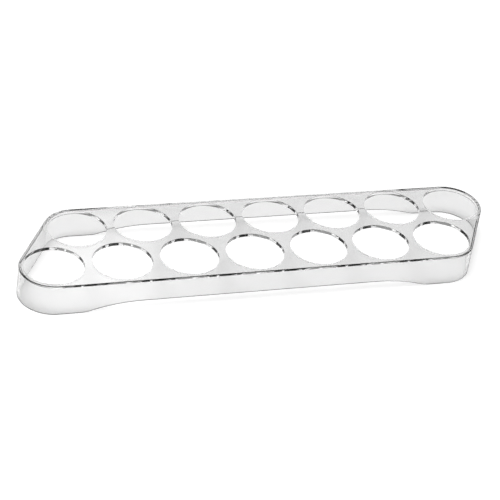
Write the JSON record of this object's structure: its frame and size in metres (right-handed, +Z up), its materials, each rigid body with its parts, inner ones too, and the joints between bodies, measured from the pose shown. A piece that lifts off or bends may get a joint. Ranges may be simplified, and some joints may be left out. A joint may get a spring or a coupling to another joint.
{
  "type": "egg holder",
  "caption": "Low clear plastic egg holder: a flat deck with slanted ends and two nested rows of round holes, on a thin skirt whose long sides are arched between feet.",
  "frame": {"origin": "middle of the footprint, on the surface that the holder stands on", "axes": "+X along the rows towards the end where the back row stands out, +Y from the front row to the back row, +Z up"},
  "size_m": [0.361, 0.0906, 0.0236],
  "materials": {
    "clear_plastic": "clear, colourless, polished"
  },
  "bodies": {
    "root": {"egg_deck": "clear_plastic", "front_wall": "clear_plastic", "back_wall": "clear_plastic", "left_end_wall": "clear_plastic", "right_end_wall": "clear_plastic"}
  },
  "joints": []
}
